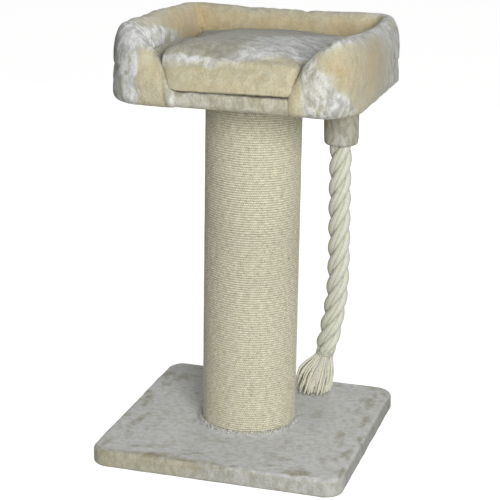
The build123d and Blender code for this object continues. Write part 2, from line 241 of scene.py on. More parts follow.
def plush_cloth(name, deep, tan, silver, patch_mm):
    """Short-pile polyester plush, brushed by hand: tan where the pile stands, with a painted silver sheen
    where it lies flat to the light and painted shade where it leans away, so it shows even tan, streaky
    silver and pale turned edges.
    Reads the piece's own nap (the painted sheen), dark (mostly painted shade) and brushed attributes."""
    material, tree = blank_material(name)
    own = [add(tree, "ShaderNodeAttribute", attribute_name=label) for label in ("nap", "dark", "brushed")]
    nap, dark, streaky = (node.outputs["Fac"] for node in own)
    place = add(tree, "ShaderNodeTexCoord").outputs["Object"]
    bend = add(tree, NOISE, {"Vector": place, "Scale": per_mm(45), "Detail": 2.0})
    swirl = {0: bend.outputs["Color"], 1: (0.03, 0.03, 0.03), 2: place}
    warped = add(tree, VECTOR_MATH, swirl, operation="MULTIPLY_ADD")
    combed = add(tree, "ShaderNodeMapping", {"Vector": warped, "Scale": (1.0, 1.3, 0.5)})
    textures = []
    layers = ((warped, patch_mm, 4.0, 0.6), (combed, 14, 4.0, 0.6), (place, 3.6, 2.0, 0.7))
    for vector, size_mm, detail, rough in layers:
        sizes = {"Vector": vector, "Scale": per_mm(size_mm), "Detail": detail, "Roughness": rough}
        textures.append(add(tree, NOISE, sizes))
    patches, streaks, tufts = textures
    both = add(tree, MATH, {0: patches, 1: streaks}, operation="ADD")
    push = add(tree, MATH, {0: both, 1: 1.3, 2: -1.3}, operation="MULTIPLY_ADD")
    lie = {0: push, 1: streaky, 2: nap}
    lie = add(tree, MATH, lie, operation="MULTIPLY_ADD", use_clamp=True)
    # Deep tan, tan and a painted silver sheen, set by how the pile lies
    ramp = add(tree, "ShaderNodeValToRGB", {"Fac": lie})
    stops = ramp.color_ramp.elements
    for stop, position, code in zip(stops, (0.0, 1.0), (deep, silver)):
        stop.position, stop.color = position, linear(code)
    stops.new(0.38).color = linear(tan)
    depth = add(tree, MAP_RANGE, dict(zip(RANGE, (tufts, 0.3, 0.7, 0.86, 1.05))))
    # Painted shade where the pile of the streaks leans from the light, on streaky pieces
    painted_lean_shade = add(tree, MAP_RANGE, dict(zip(RANGE, (streaks, 0.40, 0.58, 0.34, 0.0))))
    painted_lean_shade = add(tree, MATH, {0: painted_lean_shade, 1: streaky}, operation="MULTIPLY")
    lost = add(tree, MATH, {0: dark, 1: painted_lean_shade}, operation="ADD")
    kept = add(tree, MATH, {0: 1.0, 1: lost}, operation="SUBTRACT")
    level = add(tree, MATH, {0: depth, 1: kept}, operation="MULTIPLY")
    colour = add(tree, VECTOR_MATH, {0: ramp, "Scale": level}, operation="SCALE")
    pile = add(tree, MATH, {0: streaks, 1: tufts}, operation="ADD")
    looks = {
        "Base Color": colour,
        "Normal": add(tree, "ShaderNodeBump", {"Height": pile, "Strength": 0.6, "Distance": 0.004}),
        "Roughness": 0.95,
        "Specular IOR Level": 0.15,
        "Sheen Weight": 0.3,
        "Sheen Roughness": 0.45,
        "Sheen Tint": linear("#e8e8e6"),
    }
    close_material(tree, looks)
    return material


def plain_grain(name, light, dark, speck_mm, roughness, metallic=0.0, stretch=(1.0, 1.0, 1.0), bump_mm=0.2):
    """Boards, card, foam and steel that stay out of sight in use: two tones in specks or grain, in slight
    relief."""
    material, tree = blank_material(name)
    place = add(tree, "ShaderNodeTexCoord").outputs["Object"]
    grain = add(tree, "ShaderNodeMapping", {"Vector": place, "Scale": stretch})
    specks = {"Vector": grain, "Scale": per_mm(speck_mm), "Detail": 3.0, "Roughness": 0.65}
    specks = add(tree, NOISE, specks)
    ramp = add(tree, "ShaderNodeValToRGB", {"Fac": specks})
    for stop, position, code in zip(ramp.color_ramp.elements, (0.35, 0.65), (dark, light)):
        stop.position, stop.color = position, linear(code)
    bump = add(tree, "ShaderNodeBump", {"Height": specks, "Strength": 0.4, "Distance": bump_mm / 1000})
    close_material(tree, {"Base Color": ramp, "Normal": bump, "Roughness": roughness, "Metallic": metallic})
    return material


def twisted_fibre(
    name, light, dark, fleck, fibres, slant, fleck_mm, tones=(0.84, 1.06), gloss=0.1, soft=0.0
):
    """Natural rope: fine fibres that run aslant along each strand, pale on top with painted shade between
    them, with odd flecks of husk and lengths of a lighter or darker tone. Reads the piece's own along
    (metres), around (turns) and groove (1 deep between the strands, where it paints shade) attributes. Soft
    is how much light the fibre lets through."""
    material, tree = blank_material(name)
    own = [add(tree, "ShaderNodeAttribute", attribute_name=label) for label in ("along", "around", "groove")]
    along, around, groove = (node.outputs["Fac"] for node in own)
    place = add(tree, "ShaderNodeTexCoord").outputs["Object"]
    slide = add(tree, MATH, {0: along, 1: slant, 2: around}, operation="MULTIPLY_ADD")
    wave = add(tree, MATH, {0: slide, 1: 2 * math.pi * fibres}, operation="MULTIPLY")
    uneven = add(tree, NOISE, {"Vector": place, "Scale": per_mm(fleck_mm), "Detail": 3.0})
    shaken = add(tree, MATH, {0: uneven, 1: 5.0, 2: wave}, operation="MULTIPLY_ADD")
    ridges = add(tree, MATH, {0: shaken}, operation="SINE")
    heights = add(tree, MAP_RANGE, dict(zip(RANGE, (ridges, -1.0, 1.0, 0.0, 1.0))))
    # The dark stop is painted shade between the fibres
    ramp = add(tree, "ShaderNodeValToRGB", {"Fac": heights})
    for stop, position, code in zip(ramp.color_ramp.elements, (0.0, 0.7), (dark, light)):
        stop.position, stop.color = position, linear(code)
    husk = add(tree, NOISE, {"Vector": place, "Scale": per_mm(fleck_mm * 0.8), "Detail": 4.0})
    husk = add(tree, MAP_RANGE, dict(zip(RANGE, (husk, 0.56, 0.70, 0.0, 0.7))))
    mixed = {"Factor": husk, MIX_FIRST: ramp, MIX_SECOND: linear(fleck)}
    colour = add(tree, "ShaderNodeMix", mixed, data_type="RGBA").outputs[MIX_RESULT]
    lengths = {"W": along, "Scale": per_mm(fleck_mm * 3), "Detail": 2.0}
    lengths = add(tree, NOISE, lengths, noise_dimensions="1D")
    tone = add(tree, MAP_RANGE, dict(zip(RANGE, (lengths, 0.3, 0.7, *tones))))
    # Painted shade in the grooves between the strands
    shade = add(tree, MATH, {0: groove, 1: -0.5, 2: 1.0}, operation="MULTIPLY_ADD")
    level = add(tree, MATH, {0: tone, 1: shade}, operation="MULTIPLY")
    relief = add(tree, MATH, {0: uneven, 1: heights}, operation="ADD")
    looks = {
        "Base Color": add(tree, VECTOR_MATH, {0: colour, "Scale": level}, operation="SCALE"),
        "Normal": add(tree, "ShaderNodeBump", {"Height": relief, "Strength": 0.6, "Distance": 0.0008}),
        "Roughness": 0.65,
        "Specular IOR Level": gloss,
        "Subsurface Weight": soft,
        "Subsurface Radius": (0.005, 0.0045, 0.0035),
        "Subsurface Scale": 1.0,
    }
    close_material(tree, looks)
    return material


# By slot: the covers, the post's winding, the toy's strands, and what lies under the covers
sisal_lay = {"fibres": 2.0, "slant": 140.0, "fleck_mm": 4.0, "gloss": 0.25}
cotton_lay = {"fibres": 9.0, "slant": 18.0, "fleck_mm": 3.0, "tones": (0.97, 1.02)}
zinc_looks = {"speck_mm": 1.0, "roughness": 0.38, "metallic": 1.0, "bump_mm": 0.02}
card_looks = {"speck_mm": 3.0, "roughness": 0.85, "stretch": (1.0, 1.0, 6.0)}
finishes = {
    # The plush's silver is a painted sheen, and each fibre's second colour, here and in the yarn below, is
    # painted shade between its fibres
    "plush": plush_cloth("polyester_plush", "#c3b18a", "#c5c0a7", "#dcdddb", patch_mm=42),
    "sisal": twisted_fibre("sisal_rope", "#e7e4d0", "#c4be9f", "#918760", **sisal_lay),
    "cotton_rope": twisted_fibre("cotton_rope", "#dedfd0", "#d4d4c2", "#d6d4c0", **cotton_lay),
    "chipboard": plain_grain("raw_chipboard", "#b99a6b", "#8c6b41", speck_mm=2.5, roughness=0.8),
    "hardboard": plain_grain("bent_hardboard", "#7d5a38", "#5a3d24", speck_mm=1.2, roughness=0.6),
    "tube_card": plain_grain("wound_card", "#a88a5e", "#8b6d45", **card_looks),
    "foam": plain_grain("soft_foam", "#e9e5d6", "#d8d2bd", speck_mm=1.5, roughness=0.95),
    "zinc_steel": plain_grain("zinc_plated_steel", "#c4c6c6", "#a4a7a8", **zinc_looks),
}
plush = finishes["plush"]
# The tassel's yarn is paler and finer than the strands, and lets some light through
yarn_lay = {"fibres": 2.0, "slant": 160.0, "fleck_mm": 3.0, "tones": (0.98, 1.05), "soft": 0.5}
yarn = twisted_fibre("tassel_yarn", "#f3efdc", "#e9e4cd", "#ebe6d0", **yarn_lay)
for part in frame["record"]["subparts"]:
    mesh = nodes[part["node"]].data
    mesh.materials.clear()
    mesh.materials.append(finishes[part["material_slot"]])


# Camera
def place_camera():
    """The camera as it was fitted to the outlines in the photograph."""
    yaw, pitch, roll = (math.radians(a) for a in (16.23, 16.96, 0.96))
    eye, focal_px, picture_px = (0.90010, -3.10499, 1.40176), 1606.675, 500
    forward = Vector((-math.sin(yaw) * math.cos(pitch), math.cos(yaw) * math.cos(pitch), -math.sin(pitch)))
    level = Vector((math.cos(yaw), math.sin(yaw), 0))
    upward = level.cross(forward)
    right = level * math.cos(roll) + upward * math.sin(roll)
    top = -level * math.sin(roll) + upward * math.cos(roll)
    data = bpy.data.cameras.new("camera")
    data.sensor_width = 36.0
    data.lens = data.sensor_width * focal_px / picture_px
    data.clip_start, data.clip_end = 0.1, 100
    scene.camera = placed("camera", data)
    turned = Matrix((right, top, -forward)).transposed().to_4x4()
    scene.camera.matrix_world = Matrix.Translation(eye) @ turned


# Rope toy
def route_points():
    """The rope's line, read from its spline: the points of its route are the control points."""
    glued, drop = 0.024, SWING_HEIGHT - ROPE_BOTTOM
    route = [(0.0, -glued / drop), (0.0, 0.0), (0.001, 0.24), (0.004, 0.52), (0.002, 0.763), (-0.020, 1.0)]
    curve = bpy.data.curves.new("rope_route", "CURVE")
    curve.dimensions = "3D"
    curve.resolution_u = 40
    spline = curve.splines.new("NURBS")
    spline.points.add(len(route) - 1)
    for point, (step, share) in zip(spline.points, route):
        point.co = (CUFF_X + step, CUFF_Y, SWING_HEIGHT - drop * share, 1.0)
    spline.use_endpoint_u = True
    spline.order_u = 3
    holder = placed("rope_route", curve)
    line = evaluated_mesh(holder)
    points = np.array([v.co[:] for v in line.vertices])
    bpy.data.objects.remove(holder)
    bpy.data.meshes.remove(line)
    return points


def distances(line):
    """How far along the line each of its points lies."""
    return np.concatenate([[0], np.cumsum(np.linalg.norm(np.diff(line, axis=0), axis=1))])


def evenly(points, step):
    """The same line with its points a fixed step apart, and the distance along it."""
    at = distances(points)
    marks = np.linspace(0, at[-1], max(2, round(at[-1] / step) + 1))
    return np.stack([np.interp(marks, at, column) for column in points.T], 1), marks


def unit(ways):
    """The same directions with a length of 1."""
    return ways / np.linalg.norm(ways, axis=1)[:, None]


def side_axes(line):
    """Two axes across the line at each of its points, with no twist between them."""
    along = unit(np.gradient(line, axis=0))
    first = unit(np.cross(along, (1.0, 0.0, 0.0)))
    return first, np.cross(along, first)


def tube_points(line, radii, sides):
    """Rings of points round a line, one ring at each of its points."""
    first, second = side_axes(line)
    angles = np.arange(sides) * 2 * np.pi / sides
    ring = np.cos(angles)[None, :, None] * first[:, None] + np.sin(angles)[None, :, None] * second[:, None]
    return line[:, None] + ring * np.asarray(radii)[:, None, None]


def join_tubes(name, lines, radii, sides, material):
    """Tubes with closed ends along several lines, as one piece, with the along and around attributes."""
    points, faces, along_marks, around_marks = [], [], [], []
    for line, line_radii in zip(lines, radii):
        faces += capped_grid(len(line), sides, len(points))
        rings, marks = tube_points(line, line_radii, sides), distances(line)
        points += rings.reshape(-1, 3).tolist() + [line[0].tolist(), line[-1].tolist()]
        along_marks += np.repeat(marks, sides).tolist() + [0.0, marks[-1]]
        around_marks += (np.tile(np.arange(sides), len(line)) / sides).tolist() + [0.0, 0.0]
    piece = mesh_piece(name, points, faces, material)
    set_attribute(piece, "along", along_marks)
    set_attribute(piece, "around", around_marks)
    tidy_mesh(piece, merge=False)
    return piece


def rope_strands(line, marks):
    """Three strands laid together, drawn in a little and rounded off at the whipping."""
    strand, orbit, lay, sides, first_turn = 0.0126, 0.0121, 0.134, 20, 0.6
    neck, drawn_in, tip, rounded_off = 0.020, 0.08, 0.006, 0.14
    first, second = side_axes(line)
    pinch = 1 - drawn_in * fade(marks, marks[-1] - neck, marks[-1] - tip)
    pinch -= rounded_off * np.clip((marks - marks[-1] + tip) / tip, 0, 1) ** 2
    lines = []
    for turn in range(3):
        angle = 2 * np.pi * (marks / lay + turn / 3) + first_turn
        offset = np.cos(angle)[:, None] * first + np.sin(angle)[:, None] * second
        lines.append(line + offset * (orbit * pinch)[:, None])
    piece = join_tubes("toy_rope_strands", lines, [strand * pinch] * 3, sides, finishes["cotton_rope"])
    middle = np.concatenate([np.repeat(line, sides, axis=0), line[[0, -1]]])
    from_middle = np.linalg.norm(points_of(piece) - np.tile(middle, (3, 1)), axis=1)
    # The groove paints shade between the strands
    set_attribute(piece, "groove", fade(-from_middle, -0.0205, -0.0140))
    return piece


place_camera()
rope_line, rope_marks = evenly(route_points(), 0.003)
rope = rope_strands(rope_line, rope_marks)
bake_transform(rope)
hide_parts("toy_rope", "rope_stub")


# Winding, whipping and fringe, grown by geometry nodes
def sized_tree(name, sizes):
    """A tree of geometry nodes with these inputs and a material, and the sockets that give them."""
    tree = bpy.data.node_groups.new(name, "GeometryNodeTree")
    for label, value in sizes.items():
        kind = "NodeSocketInt" if isinstance(value, int) else "NodeSocketFloat"
        socket = tree.interface.new_socket(label, in_out="INPUT", socket_type=kind)
        socket.default_value = value
    tree.interface.new_socket("Material", in_out="INPUT", socket_type="NodeSocketMaterial")
    tree.interface.new_socket("Geometry", in_out="OUTPUT", socket_type="NodeSocketGeometry")
    return tree, add(tree, "NodeGroupInput").outputs


def close_tree(tree, geometry, material):
    """Ends a tree: smooth faces, real geometry and its material."""
    smooth = add(tree, "GeometryNodeSetShadeSmooth", {"Geometry": geometry})
    solid = add(tree, "GeometryNodeRealizeInstances", {"Geometry": smooth})
    dressed = add(tree, "GeometryNodeSetMaterial", {"Geometry": solid, "Material": material})
    add(tree, "NodeGroupOutput", {"Geometry": dressed})


def winding_tree():
    """Turns of a thread round a cylinder that stands on the origin, with the along and around attributes."""
    sizes = {"Turns": 10.0, "Radius": 0.1, "Height": 0.1, "Thread": 0.002, "Steps": 64, "Sides": 6}
    tree, given = sized_tree("winding", sizes)
    helix = {
        "Resolution": given["Steps"],
        "Rotations": given["Turns"],
        "Start Radius": given["Radius"],
        "End Radius": given["Radius"],
        "Height": given["Height"],
    }
    helix = add(tree, "GeometryNodeCurveSpiral", helix)
    section = {"Resolution": given["Sides"], "Radius": given["Thread"]}
    section = add(tree, "GeometryNodeCurvePrimitiveCircle", section)
    marked = []
    for curve, label, measure in ((helix, "along", "Length"), (section, "around", "Factor")):
        value = add(tree, "GeometryNodeSplineParameter").outputs[measure]
        stored = {"Geometry": curve, "Name": label, "Value": value}
        marked.append(add(tree, "GeometryNodeStoreNamedAttribute", stored))
    tube = {"Curve": marked[0], "Profile Curve": marked[1], "Fill Caps": True}
    close_tree(tree, add(tree, "GeometryNodeCurveToMesh", tube), given["Material"])
    return tree


def fringe_tree():
    """Tapered tufts of pile that stand in a ring, each leaning its own way. A random value's bounds and
    result go by number, since they share their names: 0, 1 and 0 for a vector, 2, 3 and 1 for a number."""
    sizes = {"Tufts": 100, "Radius": 0.1, "Band": 0.005, "Length": 0.01, "Width": 0.001}
    tree, given = sized_tree("fringe", sizes)
    ring = add(tree, "GeometryNodeMeshCircle", {"Vertices": given["Tufts"], "Radius": given["Radius"]})
    place = add(tree, "GeometryNodeInputPosition")
    outward = add(tree, VECTOR_MATH, {0: place}, operation="NORMALIZE")
    share = add(tree, "FunctionNodeRandomValue", {2: 0.0, 3: 1.0, "Seed": 3}, data_type="FLOAT").outputs[1]
    step = add(tree, MATH, {0: share, 1: given["Band"]}, operation="MULTIPLY")
    shift = add(tree, VECTOR_MATH, {0: outward, "Scale": step}, operation="SCALE")
    spread = add(tree, "GeometryNodeSetPosition", {"Geometry": ring, "Offset": shift})
    stray = {0: (-0.5, -0.5, 0.6), 1: (0.5, 0.5, 1.0), "Seed": 5}
    stray = add(tree, "FunctionNodeRandomValue", stray, data_type="FLOAT_VECTOR")
    lean = {0: outward, 1: (0.15, 0.15, 0.15), 2: stray}
    lean = add(tree, VECTOR_MATH, lean, operation="MULTIPLY_ADD")
    way = add(tree, "FunctionNodeAlignRotationToVector", {"Vector": lean}, axis="Z")
    size = add(tree, "FunctionNodeRandomValue", {2: 0.6, 3: 1.25, "Seed": 8}, data_type="FLOAT").outputs[1]
    tuft = {"Vertices": 5, "Radius Top": 0.0, "Radius Bottom": given["Width"], "Depth": given["Length"]}
    tuft = add(tree, "GeometryNodeMeshCone", tuft)
    tufts = {"Points": spread, "Instance": tuft, "Rotation": way, "Scale": size}
    close_tree(tree, add(tree, "GeometryNodeInstanceOnPoints", tufts), given["Material"])
    return tree


def grown_piece(name, tree, sizes):
    """Runs a tree with these sizes and keeps the result as a plain mesh."""
    holder = placed(name + "_holder", bpy.data.meshes.new(name + "_holder"))
    modifier = holder.modifiers.new("grown", "NODES")
    modifier.node_group = tree
    for item in tree.interface.items_tree:
        if item.item_type == "SOCKET" and item.in_out == "INPUT":
            modifier[item.identifier] = sizes[item.name]
    mesh = evaluated_mesh(holder)
    mesh.name = name
    bpy.data.objects.remove(holder)
    return placed(name, mesh)


winding = winding_tree()
# The turns overlap a little, and keep clear of the base and the bed
radius_share, clear = 0.54, 0.0002
sisal_sizes = {
    "Turns": (BED_BOTTOM - BASE_TOP - SISAL) / SISAL_PITCH,
    "Radius": POST_RADIUS + SISAL / 2,
    "Height": BED_BOTTOM - BASE_TOP - SISAL - 2 * clear,
    "Thread": SISAL * radius_share,
    "Steps": 96,
    "Sides": 6,
    "Material": finishes["sisal"],
}
sisal_winding = grown_piece("sisal_winding", winding, sisal_sizes)
sisal_winding.data.transform(Matrix.Translation((0, 0, BASE_TOP + SISAL / 2 + clear)))
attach(sisal_winding, "stand")
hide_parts("sisal_sleeve", "sisal_end_turns")

rope_end = Vector(rope_line[-1])
rope_way = Vector(rope_line[-1] - rope_line[-4]).normalized()
whipping_sizes = {
    "Turns": 5.0,
    "Radius": 0.0190,
    "Height": 0.0080,
    "Thread": 0.0011,
    "Steps": 48,
    "Sides": 8,
    "Material": finishes["cotton_rope"],
}
whipping = grown_piece("rope_whipping_thread", winding, whipping_sizes)
along_rope = rope_way.to_track_quat("Z", "Y").to_matrix().to_4x4()
whipping.data.transform(Matrix.Translation(rope_end - rope_way * 0.0010) @ along_rope)
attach(whipping, "rope")
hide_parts("rope_whipping")


# Tassel
def tassel_threads():
    """Loose yarns out of the whipping: they lean and fan to one side, droop and end unevenly."""
    dice = np.random.default_rng(11)
    count, golden_angle = 240, 2.39996
    tucked, bunch, full_length, lowest = 0.008, 0.0165, 0.107, BASE_TOP + 0.0034
    top, way = np.array(rope_end - rope_way * tucked), np.array(rope_way)
    first, second = (axes[0] for axes in side_axes(np.array([top, top + way * 0.01, top + way * 0.02])))
    steps = np.linspace(0, 1, 15)
    course = way * 0.5 + np.array((0.0, 0.0, -0.5))
    course /= np.linalg.norm(course)
    lines, radii = [], []
    for index in range(count):
        share = math.sqrt((index + 0.5) / count)
        angle = index * golden_angle + dice.uniform(-0.2, 0.2)
        out = math.cos(angle) * first + math.sin(angle) * second
        leftward = 0.5 - 0.5 * out[0]
        start = top + out * share * bunch
        length = full_length + dice.uniform(-0.016, 0.006)
        spread = share * (0.009 + 0.018 * leftward + dice.uniform(-0.003, 0.003))
        line = start + np.outer(steps * length, course)
        line += np.outer(fade(steps, 0.08, 0.68), out * spread)
        line[:, 0] -= steps**1.4 * (0.006 + 0.014 * leftward * share)
        splay = dice.uniform(-1, 1, 3) * np.array((0.006, 0.006, 0.0))
        line += np.outer(fade(steps, 0.60, 1.15), splay)
        wobble = dice.uniform(-1, 1, 3) * np.array((0.003, 0.003, 0.0))
        line += np.outer(np.sin(steps * dice.uniform(2.0, 5.5)) * steps, wobble)
        line[:, 2] = np.maximum(line[:, 2], lowest)
        lines.append(line)
        thick = dice.uniform(0.0017, 0.0025)
        radii.append(thick * np.interp(steps, [0, 0.85, 1], [0.85, 1.0, 0.6]))
    return join_tubes("rope_tassel_threads", lines, radii, 8, yarn)


tassel = tassel_threads()
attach(tassel, "rope")
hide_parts("rope_tassel")


# Covered boards: a closed skin of plush whose section is swept round a rounded square
def rounded_square(half, corner, count):
    """Points of a rounded square, evenly spaced from the middle of the front, and their outward ways."""
    reach, quarter = half - corner, math.pi / 2 * corner
    runs = [reach, quarter, 2 * reach, quarter, 2 * reach, quarter, 2 * reach, quarter, reach]
    knots = np.concatenate([[0], np.cumsum(runs)])
    at = np.arange(count) / count * knots[-1]
    x = np.interp(at, knots, np.array([0, 1, 1, 1, 1, -1, -1, -1, -1, 0]) * reach)
    y = np.interp(at, knots, np.array([-1, -1, -1, 1, 1, 1, 1, -1, -1, -1]) * reach)
    angles = np.radians(np.interp(at, knots, [-90, -90, 0, 0, 90, 90, 180, 180, 270, 270]))
    ways = np.c_[np.cos(angles), np.sin(angles)]
    return np.c_[x, y] + corner * ways, ways


def arc(across, height, wide, high, start, steps, power=1.0):
    """A quarter of an ellipse in a section, from its middle, its reach both ways and its first angle."""
    angles = np.radians(start + 90 * np.linspace(0, 1, steps))
    return [(across + wide * math.cos(a) ** power, height + high * math.sin(a)) for a in angles]


def run(first, last, steps):
    """A straight part of a section, between two of its points."""
    return list(zip(np.linspace(first[0], last[0], steps), np.linspace(first[1], last[1], steps)))


def covered_slab(name, half, corner, section, pole_heights, middle_x):
    """A skin whose rings follow the section's insets and heights, closed by a pole at each end."""
    count, limit = 480, corner - 0.004
    places, ways = rounded_square(half, corner, count)
    rings = []
    for inset, height in section:
        ring = places - ways * min(inset, limit)
        if inset > limit:
            ring = ring * max(0.0, 1 - (inset - limit) / (half - limit))
        rings.append(np.c_[ring[:, 0] + middle_x, ring[:, 1], np.full(count, height)])
    points = np.concatenate(rings + [[(middle_x, 0, height) for height in pole_heights]])
    piece = mesh_piece(name, points, capped_grid(len(section), count), plush)
    tidy_mesh(piece)
    return piece


def base_cover():
    """The base's cover: over the top, down the edge and folded under as a hem, smudged along the edges."""
    half, corner, skin, hem, clear, pole = 0.2665, 0.038, 0.004, 0.045, 0.0003, 0.003
    top_round, foot_round, board_round = 0.0105, 0.006, 0.006
    inner, ceiling = skin + clear, BASE_TOP - skin - clear
    section = run((half - pole, ceiling), (skin + board_round, ceiling), 12)
    section += [(inner, BASE_TOP - skin - board_round), (inner, inner)]
    section += [(skin + hem, inner), (skin + hem, 0.001), (skin + hem - 0.001, 0.0)]
    section += run((skin + hem - 0.004, 0.0), (foot_round + 0.002, 0.0), 8)
    section += arc(foot_round, foot_round, -foot_round, foot_round, -90, 7)
    section += run((0.0, 0.010), (0.0, BASE_TOP - top_round - 0.002), 6)
    section += arc(top_round, BASE_TOP - top_round, -top_round, top_round, 0, 11)
    section += run((top_round + pole, BASE_TOP), (half - pole, BASE_TOP), 46)
    piece = covered_slab("base_cover", half, corner, section, (ceiling, BASE_TOP), 0.0)
    points, normals = points_of(piece), points_of(piece, "normal")
    x, y, z = points.T
    outer = (z > BASE_TOP - 0.0005) | (np.abs(points[:, :2]).max(1) > half - skin + 0.0005)
    from_post = np.hypot(x, y)
    swell = 0.0011 * lumps(points, 0.055, 1) + 0.0005 * lumps(points, 0.018, 2)
    swell *= fade(from_post, 0.105, 0.125)
    swell += (0.0022 + 0.0016 * lumps(points, 0.006, 19)) * np.exp(-(((from_post - 0.104) / 0.006) ** 2))
    points += normals * (swell * outer)[:, None]
    z[:] = np.maximum(z, 0.0)
    set_points(piece, points)
    upward = fade(normals[:, 2], 0.2, 0.9)
    upright = 1 - upward
    rim = blob(np.c_[z], (0.034,), (0.006,)) * upright
    near_edge = fade(np.abs(points[:, :2]).max(1), 0.17, 0.262)
    # The smudges are drawn out along the nearest edge
    by_side, specks = fade(np.abs(x) - np.abs(y), -0.05, 0.05), 0.0
    for share, stretch in ((1 - by_side, (0.4, 1.0, 1.0)), (by_side, (1.0, 0.4, 1.0))):
        drawn = points * stretch
        specks = specks + share * (lumps(drawn, 0.024, 15) + 0.6 * lumps(drawn, 0.010, 16))
    worn = upward * fade(specks + 0.25 * near_edge, 0.12, 0.88) * (0.55 + 0.45 * near_edge)
    front_rim = fade(-y, 0.243, 0.256) * fade(-x, -0.02, 0.09)
    shaded_right_side = upright * fade(x, 0.258, 0.266) * fade(y, -0.25, -0.20)
    # Nap with its painted silver sheen: most on the top, less at the rim, on the smudges and along the
    # front's left
    nap = 0.74 + 0.26 * upward - 0.10 * rim - 0.55 * worn
    nap -= 0.32 * upright * front_rim + 0.42 * upward * front_rim
    # The smudges are darker, and painted shade darkens the top, the sides and most of all the right side
    dark = 0.04 + 0.06 * upward + 0.22 * worn + 0.06 * upward * front_rim
    dark += (0.13 - 0.06 * front_rim) * upright + 0.24 * shaded_right_side
    set_pile(piece, nap, dark, 0.42)
    return piece


def bed_board_cover():
    """The bed board's cover, filled out along its front edge."""
    inset, edge, pole = 0.0086, 0.0125, 0.003
    half, corner = BED_HALF - inset, BED_CORNER - inset
    section = run((half - pole, BED_BOTTOM), (0.04, BED_BOTTOM), 14)
    section += run((0.034, BED_BOTTOM), (edge + 0.002, BED_BOTTOM), 5)
    section += arc(edge, BED_BOTTOM + edge, -edge, edge, -90, 11)
    section += run((0.0, BED_BOTTOM + edge + 0.002), (0.0, BED_FLOOR - edge - 0.002), 4)
    section += arc(edge, BED_FLOOR - edge, -edge, edge, 0, 11)
    section += run((edge + 0.002, BED_FLOOR), (half - pole, BED_FLOOR), 20)
    piece = covered_slab("bed_board_cover", half, corner, section, (BED_BOTTOM, BED_FLOOR), BED_MIDDLE)
    points, normals = points_of(piece), points_of(piece, "normal")
    front = (1 - np.abs(normals[:, 2])) * fade(-points[:, 1], 0.20, 0.23)
    swell = 0.0016 * lumps(points, 0.04, 3) + 0.0008 * lumps(points, 0.014, 4)
    points += normals * (swell * front + 0.002 * front)[:, None]
    set_points(piece, points)
    # Painted sheen on the top and front, and painted shade on the front edge
    nap = 0.42 + 0.08 * front + 0.25 * fade(normals[:, 2], 0.3, 1.0)
    set_pile(piece, nap, 0.09 * front, 0.6)
    return piece


base = base_cover()
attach(base, "stand")
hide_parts("base_plush")
pile_sizes = {"Tufts": 760, "Radius": 0.1008, "Band": 0.0050, "Length": 0.0125, "Width": 0.0017}
foot_pile = grown_piece("post_foot_pile", fringe_tree(), {**pile_sizes, "Material": plush})
foot_pile.data.transform(Matrix.Translation((0, 0, BASE_TOP - 0.0010)))
# Painted sheen, and a little painted light
set_pile(foot_pile, nap=0.85, dark=-0.04, brushed=0.25)
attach(foot_pile, "stand")
bed_floor = bed_board_cover()
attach(bed_floor, "stand")
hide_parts("bed_board_plush")


# Bed wall
def wall_line(step):
    """The wall's middle line in the bed's own frame, from its left front end round the back to its right
    one, and the outward way at each of its points."""
    middle, left_end, right_end = BED_HALF - WALL / 2, -0.0975, 0.1165
    front_turn, rear_turn = 0.048, 0.040
    corners = ((-1, -1, front_turn), (-1, 1, rear_turn), (1, 1, rear_turn), (1, -1, front_turn))
    line = [(left_end, -middle)]
    for number, (side_x, side_y, turn) in enumerate(corners):
        centre = side_x * (middle - turn), side_y * (middle - turn)
        line += arc(*centre, turn, turn, 180 - 90 * number, 33)[::-1]
    line.append((right_end, -middle))
    points, _ = evenly(np.array(line), step)
    along = unit(np.gradient(points, axis=0))
    return points, np.c_[-along[:, 1], along[:, 0]]


def gathered(depth):
    """How far the cloth of the side walls is gathered, by the distance behind the bed's middle."""
    return np.exp(-(((depth + 0.115) / 0.080) ** 2))


def wall_crest(across, depth):
    """The crest's height: full along the sides, and sloping down along the front to the opening."""
    left = [-0.19, -0.14, -0.02, 0.06, 0.14, 0.22], [0.910, 0.914, 0.914, 0.910, 0.904, 0.897]
    right = [-0.21, -0.15, -0.06, 0.05, 0.12, 0.20], [0.908, 0.904, 0.899, 0.894, 0.892, 0.897]
    left, right = np.interp(depth, *left), np.interp(depth, *right)
    share = fade(across, -0.16, 0.16)
    full = np.where(depth > 0.19, 0.898, np.where(across < 0, left, right))
    full = np.where(depth > 0.15, left * (1 - share) + right * share, full)
    left_slope = np.interp(
        -across,
        [0.104, 0.112, 0.124, 0.136, 0.148, 0.162, 0.176, 0.191, 0.209],
        [0.806, 0.812, 0.823, 0.841, 0.861, 0.880, 0.894, 0.904, 0.911],
    )
    right_slope = np.interp(
        across,
        [0.119, 0.131, 0.138, 0.143, 0.150, 0.162, 0.181, 0.196, 0.211],
        [0.812, 0.822, 0.832, 0.847, 0.861, 0.874, 0.889, 0.899, 0.907],
    )
    return np.where(depth > -0.18, full, np.where(across < 0, left_slope, right_slope))


